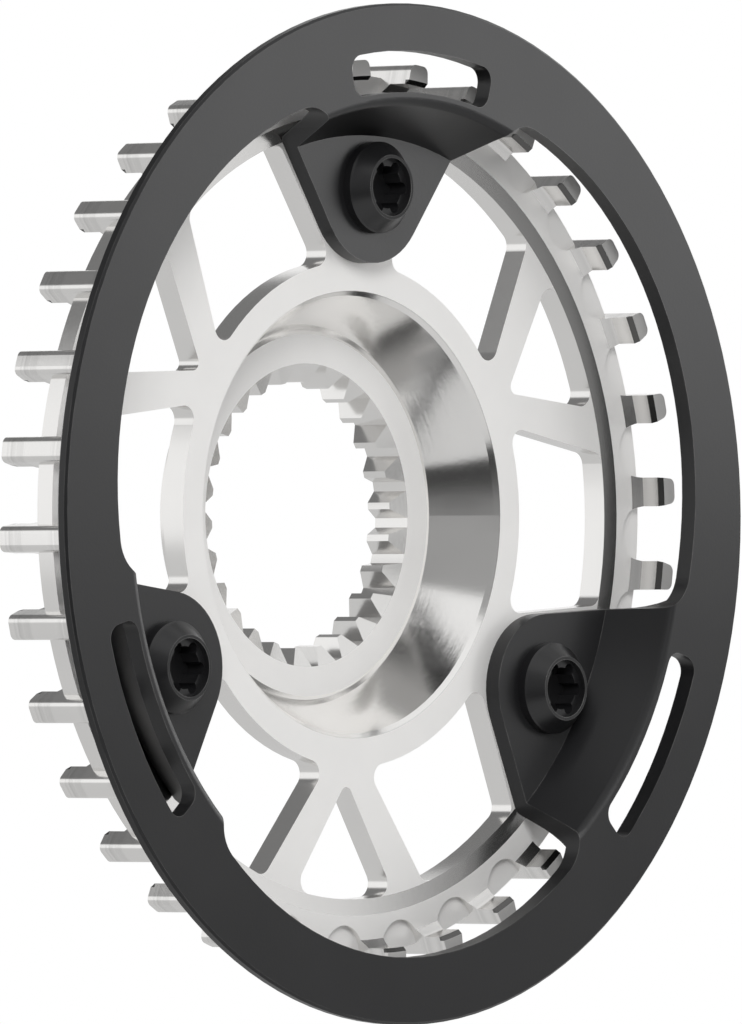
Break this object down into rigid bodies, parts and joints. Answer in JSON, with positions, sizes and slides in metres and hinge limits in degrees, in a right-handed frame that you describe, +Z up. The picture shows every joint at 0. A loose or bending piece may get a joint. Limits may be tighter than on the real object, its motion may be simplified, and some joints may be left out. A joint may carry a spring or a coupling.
{
  "type": "belt drive sprocket",
  "caption": "Toothed ring with a centre flange on windowed spokes round a splined funnel hub, with a black dished guard ring bolted to its front.",
  "frame": {"origin": "on the bore axis at the belt's centre plane", "axes": "Y along the bore axis, with the guard at the front towards -Y; +Z up, through the middle of the top guard ear to within about 2 degrees"},
  "size_m": [0.1242, 0.0223, 0.1242],
  "materials": {
    "machined_steel": "turned and milled, bright satin",
    "black_anodised": "black anodised, fine matt",
    "black_bolt_steel": "black oxide, satin"
  },
  "bodies": {
    "root": {"sprocket": "machined_steel", "belt_guard": "black_anodised", "guard_bolt_1": "black_bolt_steel", "guard_bolt_2": "black_bolt_steel", "guard_bolt_3": "black_bolt_steel"}
  },
  "joints": []
}
